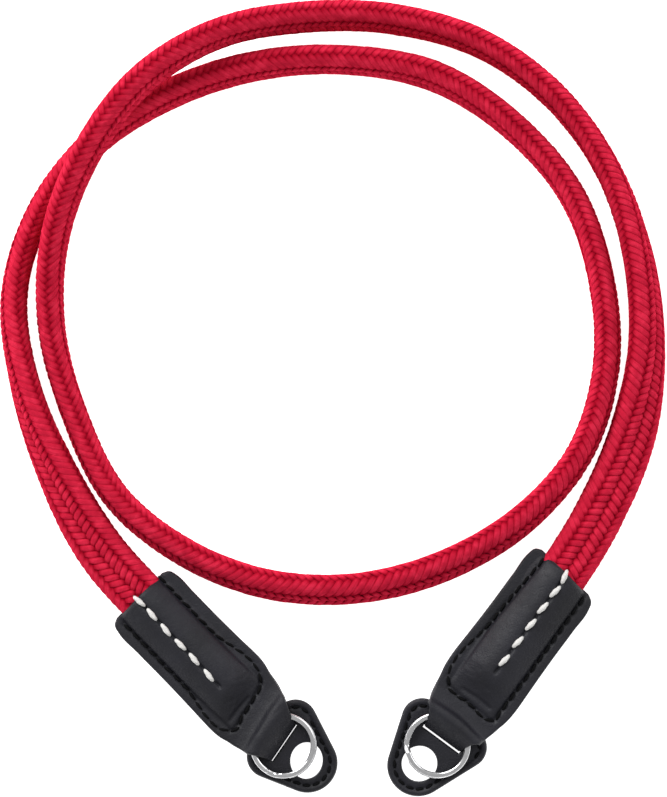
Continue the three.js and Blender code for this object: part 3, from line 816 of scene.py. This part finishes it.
def outline_round(corners, inset=0.0):
    """Outline drawn round three arcs, joined by straight sides, moved in by inset."""
    corners = [(x, y, radius - inset) for x, y, radius in corners]

    def towards(a, b):
        angle = math.atan2(b[1] - a[1], b[0] - a[0])
        return angle - math.acos((a[2] - b[2]) / math.hypot(b[0] - a[0], b[1] - a[1]))

    points = []
    for i, corner in enumerate(corners):
        before, after = corners[i - 1], corners[(i + 1) % 3]
        start, stop = towards(before, corner), towards(corner, after)
        stop += 2 * math.pi * math.ceil((start - stop) / (2 * math.pi))
        x, y, radius = corner
        angle = np.linspace(start, stop, max(4, round((stop - start) * radius / OUTLINE_SPACING)))
        points.append(np.stack([x + radius * np.cos(angle), y + radius * np.sin(angle)], axis=1))
    points = np.vstack(points)
    closed = np.vstack([points, points[:1]])
    length = distances_along(closed)[-1]
    return places_at(np.linspace(0, length, round(length / OUTLINE_SPACING), endpoint=False), closed)


def hole_outline(hole, grow=0.0):
    long_way, short_way = hole["length"] / 2 + grow, hole["width"] / 2 + grow
    angle = np.linspace(0, 2 * math.pi, round(2 * math.pi * long_way / OUTLINE_SPACING), endpoint=False)
    turn = math.radians(hole["angle"])
    x, y = long_way * np.cos(angle), short_way * np.sin(angle)
    return np.stack([hole["x"] + x * math.cos(turn) - y * math.sin(turn),
                     hole["y"] + x * math.sin(turn) + y * math.cos(turn)], axis=1)


def slit_outline(end, grow=0.0):
    slit = end["slit"]
    half = slit["half_width"] + grow
    y = np.linspace(-half, half, round(2 * half / OUTLINE_SPACING))
    x = np.repeat([slit["far"] + grow, slit["near"] - grow], len(y))
    loop = np.stack([x, np.concatenate([y, y[::-1]])], axis=1)
    loop[:, 0] += loop[:, 1] * end["skew"][2]
    return loop


def inside(points, loop):
    """Whether each point is inside a closed outline."""
    x, y = points[:, 0][:, None], points[:, 1][:, None]
    x0, y0 = loop[:, 0], loop[:, 1]
    x1, y1 = np.roll(x0, -1), np.roll(y0, -1)
    crosses = (y0 > y) != (y1 > y)
    with np.errstate(divide="ignore", invalid="ignore"):
        at = x0 + (y - y0) * (x1 - x0) / (y1 - y0)
    return np.sum(crosses & (x < at), axis=1) % 2 == 1


def tilted(points, end):
    """From the ring cover's own plane, which leans on the cover's tip, to the end's frame."""
    tip = max(x + radius for x, y, radius in end["corners"])
    angle = math.radians(COVER_TILT)
    out = np.array(points, float)
    x, z = out[..., 0] - tip, out[..., 2].copy()
    out[..., 0] = x * math.cos(angle) + z * math.sin(angle) + tip
    out[..., 2] = z * math.cos(angle) - x * math.sin(angle)
    return out


def rounded_off(far, reach, drop):
    """How far a surface drops towards an edge that is so far away, as a quarter of an ellipse."""
    inset = 1 - np.clip(far / reach, 0, 1)
    return drop * (1 - np.sqrt(1 - inset**2))


def beside_edge(from_edge, depth, far, reach):
    return depth * np.exp(-((from_edge - far) / reach) ** 2)


def ring_cover(end, leather):
    """A leather plate with a rolled edge, a round hole and a slit for the strip."""
    edge = outline_round(end["corners"])
    hole = hole_outline(end["hole"])
    slit = slit_outline(end)
    loops = [edge, hole, slit]
    rings = [outline_round(end["corners"], inset) for inset in EDGE_LINES]
    rings += [hole_outline(end["hole"], grow) for grow in HOLE_LINES]
    rings += [slit_outline(end, grow) for grow in SLIT_LINES]
    low, high = edge.min(axis=0), edge.max(axis=0)
    columns = np.arange(low[0], high[0], COVER_SPACING)
    lines = np.arange(low[1], high[1], COVER_SPACING * ROW_SPACING)
    x, y = np.meshgrid(columns, lines)
    x = x + (np.arange(len(lines)) % 2)[:, None] * COVER_SPACING / 2
    grid = np.stack([x.ravel(), y.ravel()], axis=1)
    deep = inside(grid, outline_round(end["corners"], GRID_IN))
    extra = np.vstack([*rings, grid[deep]])
    keep = inside(extra, edge) & ~inside(extra, hole) & ~inside(extra, slit)
    for loop in loops[1:]:
        keep &= distance_to(extra, [*loop, loop[0]]) > LEAST_GAP
    points = np.vstack([*loops, extra[keep]])
    edges, first = [], 0
    for loop in loops:
        number = np.arange(len(loop))
        edges += [(int(first + i), int(first + (i + 1) % len(loop))) for i in number]
        first += len(loop)
    placed, _, triangles, *_ = delaunay_2d_cdt([Vector(point) for point in points], edges, [], 0, 1e-6)
    placed = np.array(placed)
    triangles = np.array(triangles)
    centres = placed[triangles].mean(axis=1)
    real = inside(centres, edge) & ~inside(centres, hole) & ~inside(centres, slit)
    triangles = triangles[real]
    from_edge = distance_to(placed, [*edge, edge[0]])
    from_hole = np.minimum(distance_to(placed, [*hole, hole[0]]), distance_to(placed, [*slit, slit[0]]))
    drop = rounded_off(from_edge, **COVER_ROUNDING["edge"]) + rounded_off(from_hole, **COVER_ROUNDING["hole"])
    groove = beside_edge(from_edge, **COVER_GROOVE)
    swell = beside_edge(from_edge, **COVER_SWELL)
    flat = COVER_MIDDLE["depth"] / (1 + np.exp(-(from_edge - COVER_MIDDLE["far"]) * COVER_MIDDLE["steepness"]))
    top = np.column_stack([placed, COVER_THICKNESS - COVER_THINNER - drop - groove + swell - flat])
    bottom = np.column_stack([placed, drop + groove * GROOVE_BELOW])
    count = len(placed)
    walls = []
    sides = np.vstack([triangles[:, [0, 1]], triangles[:, [1, 2]], triangles[:, [2, 0]]])
    _, place, uses = np.unique(np.sort(sides, axis=1), axis=0, return_index=True, return_counts=True)
    for a, b in sides[place[uses == 1]]:
        walls += [(b, a, a + count), (b, a + count, b + count)]
    faces = np.vstack([triangles, triangles[:, ::-1] + count, np.array(walls)])
    solid = tilted(np.vstack([top, bottom]), end)
    piece = new_piece(f"cover_{end['name']}", to_world(solid, end), faces, leather)
    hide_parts(f"ring_cover_{end['name']}")


def cover_stitches(end, dark):
    line = outline_round(end["corners"], COVER_SEAM_IN)
    line = np.vstack([line, line[:2]])

    def over(x, y):
        return COVER_THICKNESS - COVER_SINK

    points, faces = joined(seam_stitches(line[::2], over, COVER_SEAM))
    piece = new_piece(f"cover_seam_{end['name']}", to_world(tilted(points, end), end), faces, dark)


def split_ring(end, steel):
    """Two turns of flat wire with rounded edges, stepping from the lower turn to the upper one."""
    share = np.linspace(0, 1, RING_STEPS)
    start = math.radians(end["gap_angle"]) + (2 - RING_TURNS) * math.pi
    angle = start + share * RING_TURNS * 2 * math.pi
    step = np.clip(((share - 0.5) * RING_TURNS + STEP_ARC / 2) / STEP_ARC, 0, 1)
    lift = TURN_PITCH * (3 * step**2 - 2 * step**3)
    round_wire = np.linspace(0, 2 * math.pi, WIRE_SIDES, endpoint=False)
    across, upward = (half * np.sign(turn) * np.abs(turn) ** WIRE_ROUNDNESS for half, turn in (
        (WIRE_WIDTH / 2, np.cos(round_wire)), (WIRE_HEIGHT / 2, np.sin(round_wire))))
    row = np.arange(RING_STEPS)
    taper = np.clip(np.minimum(row, row[::-1]) / END_ROWS, END_SHARE, 1)[:, None]
    radius = RING_RADIUS - WIRE_WIDTH / 2 + across * taper
    slide = TURN_SLIDE * (1 - lift[:, None] / TURN_PITCH)
    x, y = end["ring"]
    points = np.stack([
        x + slide + radius * np.cos(angle)[:, None],
        y + radius * np.sin(angle)[:, None],
        COVER_THICKNESS + RING_GAP + WIRE_HEIGHT / 2 + lift[:, None] + upward * taper,
    ], axis=2)
    faces = tube_faces(RING_STEPS, WIRE_SIDES)
    piece = new_piece(f"ring_{end['name']}", to_world(tilted(points.reshape(-1, 3), end), end), faces, steel)
    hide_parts(f"split_ring_{end['name']}")


class Shader:
    """A material's node tree, with short calls to add nodes and link them."""

    def __init__(self, name):
        self.material = bpy.data.materials.new(name)
        self.material.use_nodes = True
        self.tree = self.material.node_tree
        self.surface = self.tree.nodes["Principled BSDF"]

    def node(self, kind, **settings):
        node = self.tree.nodes.new(kind)
        for key, value in settings.items():
            if hasattr(node, key):
                setattr(node, key, value)
            else:
                node.inputs[key.replace("_", " ")].default_value = value
        return node

    def link(self, source, target):
        self.tree.links.new(source, target)

    def set(self, **values):
        for key, value in values.items():
            self.surface.inputs[key.replace("_", " ")].default_value = value

    def noise(self, vector, scale, detail=3.0, roughness=0.5):
        """A noise texture's value at a vector."""
        node = self.node("ShaderNodeTexNoise", Scale=scale, Detail=detail, Roughness=roughness)
        self.link(vector, node.inputs["Vector"])
        return node.outputs["Fac"]

    def ramp(self, factor, stops):
        """A colour ramp of (place, colour) stops."""
        node = self.node("ShaderNodeValToRGB")
        node.color_ramp.elements.remove(node.color_ramp.elements[1])
        for i, (place, colour) in enumerate(stops):
            element = node.color_ramp.elements[0] if i == 0 else node.color_ramp.elements.new(place)
            element.position = place
            element.color = (*colour, 1)
        self.link(factor, node.inputs["Fac"])
        return node.outputs["Color"]

    def mapped(self, vector, scale):
        node = self.node("ShaderNodeMapping")
        node.inputs["Scale"].default_value = scale
        self.link(vector, node.inputs["Vector"])
        return node.outputs["Vector"]

    def place(self):
        return self.node("ShaderNodeTexCoord").outputs["Object"]

    def uv(self):
        return self.node("ShaderNodeUVMap", uv_map="UVMap").outputs["UV"]

    def bump(self, height, distance, strength=1.0, normal=None):
        node = self.node("ShaderNodeBump", Distance=distance, Strength=strength)
        self.link(height, node.inputs["Height"])
        if normal is not None:
            self.link(normal, node.inputs["Normal"])
        return node.outputs["Normal"]


def silk_material():
    shader = Shader("crimson_silk")
    fibres = shader.noise(shader.mapped(shader.uv(), scale=(1.0, 26.0, 1.0)), scale=1.6, roughness=0.6)
    patches = shader.noise(shader.place(), scale=420.0, detail=2.0)
    fibre_share = 0.7
    mix = shader.node("ShaderNodeMath", operation="MULTIPLY_ADD")
    shader.link(fibres, mix.inputs[0])
    mix.inputs[1].default_value = fibre_share
    shader.link(patches, mix.inputs[2])
    colour = shader.ramp(mix.outputs[0], SILK_TONES)
    # Painted shade: the depth attribute darkens the silk's colour between yarns and where they pass under
    depth = shader.node("ShaderNodeAttribute", attribute_name="depth")
    shade = shader.ramp(depth.outputs["Fac"], SILK_SHADE)
    dim = shader.node("ShaderNodeMix", data_type="RGBA", blend_type="MULTIPLY")
    dim.inputs["Factor"].default_value = 1.0
    shader.link(colour, dim.inputs["A"])
    shader.link(shade, dim.inputs["B"])
    shader.link(dim.outputs["Result"], shader.surface.inputs["Base Color"])
    shader.set(Roughness=0.6, Sheen_Weight=0.02, Sheen_Roughness=0.4, Sheen_Tint=SILK_SHEEN,
               Specular_IOR_Level=0.0)
    shader.link(shader.bump(fibres, distance=0.00012, strength=0.7), shader.surface.inputs["Normal"])
    return shader.material


def core_material():
    shader = Shader("painted_shade_core")
    # Painted shade: near-black red, for the shadow inside the braid
    colour = shader.ramp(shader.noise(shader.place(), scale=900.0), CORE_SHADE_TONES)
    shader.link(colour, shader.surface.inputs["Base Color"])
    shader.set(Roughness=0.8)
    return shader.material


def leather_material(name, base, fineness):
    shader = Shader(name)
    place = shader.place()
    grain = shader.noise(place, scale=fineness, detail=4.0, roughness=0.6)
    creases = shader.noise(place, scale=420.0, roughness=0.55)
    patches = shader.noise(place, scale=90.0, detail=2.0)
    dark, pale = (tuple(share * part for part in base) for share in (LEATHER_DARK, LEATHER_PALE))
    shader.link(shader.ramp(patches, [(0.3, dark), (0.7, pale)]), shader.surface.inputs["Base Color"])
    rough = shader.node("ShaderNodeMapRange", From_Min=0.3, From_Max=0.7, To_Min=0.46, To_Max=0.62)
    shader.link(creases, rough.inputs["Value"])
    shader.link(rough.outputs["Result"], shader.surface.inputs["Roughness"])
    soft = shader.bump(creases, distance=0.00025, strength=0.5)
    shader.link(shader.bump(grain, distance=0.00015, strength=0.8, normal=soft), shader.surface.inputs["Normal"])
    shader.set(Specular_IOR_Level=0.36)
    return shader.material


def thread_material(name, dark, pale, gloss):
    shader = Shader(name)
    fibres = shader.noise(shader.place(), scale=5200.0, detail=2.0)
    shader.link(shader.ramp(fibres, [(0.3, dark), (0.7, pale)]), shader.surface.inputs["Base Color"])
    shader.link(shader.bump(fibres, distance=0.0001, strength=0.6), shader.surface.inputs["Normal"])
    shader.set(Roughness=0.8, Specular_IOR_Level=gloss)
    return shader.material


def steel_material():
    shader = Shader("bright_steel")
    scratches = shader.noise(shader.place(), scale=900.0)
    rough = shader.node("ShaderNodeMapRange", From_Min=0.3, From_Max=0.7, To_Min=0.16, To_Max=0.24)
    shader.link(scratches, rough.inputs["Value"])
    shader.link(rough.outputs["Result"], shader.surface.inputs["Roughness"])
    shader.link(shader.ramp(scratches, STEEL_TONES), shader.surface.inputs["Base Color"])
    shader.set(Metallic=1.0)
    return shader.material


def floor_and_light():
    shader = Shader("pale_floor")
    tone = shader.ramp(shader.noise(shader.place(), scale=3.0), FLOOR_TONES)
    shader.link(tone, shader.surface.inputs["Base Color"])
    shader.set(Roughness=0.9, Specular_IOR_Level=0.1, Emission_Color=WHITE, Emission_Strength=FLOOR_GLOW)
    bpy.ops.mesh.primitive_plane_add(size=FLOOR_SIZE, location=(0, 0, FLOOR_HEIGHT * MM))
    floor = bpy.context.object
    floor.name = "floor"
    floor.data.materials.append(shader.material)
    world = bpy.data.worlds.new("studio")
    bpy.context.scene.world = world
    world.use_nodes = True
    sky = world.node_tree.nodes["Background"]
    sky.inputs["Color"].default_value = WHITE
    sky.inputs["Strength"].default_value = SKY_STRENGTH
    for row in LAMPS:
        soft_light(**row)
    bpy.context.scene.view_settings.view_transform = "Standard"


def soft_light(name, place, size, power):
    data = bpy.data.lights.new(name, "AREA")
    data.shape = "DISK"
    data.size = size
    data.energy = power
    lamp = bpy.data.objects.new(name, data)
    lamp.location = place
    aim = Vector(LAMP_AIM) - Vector(place)
    lamp.rotation_euler = aim.to_track_quat("-Z", "Y").to_euler()
    bpy.context.scene.collection.objects.link(lamp)


camera()
line = route()
silk_cord(line, silk_material(), core_material())
end_leather = leather_material(**END_LEATHER)
cover_leather = leather_material(**COVER_LEATHER)
dark_thread = thread_material(**BLACK_THREAD)
white_thread = thread_material(**WHITE_THREAD)
bright_steel = steel_material()
for end in ENDS:
    leather_end(end, end_leather)
    end_stitches(end, dark_thread, white_thread)
    ring_cover(end, cover_leather)
    cover_stitches(end, dark_thread)
    split_ring(end, bright_steel)
floor_and_light()
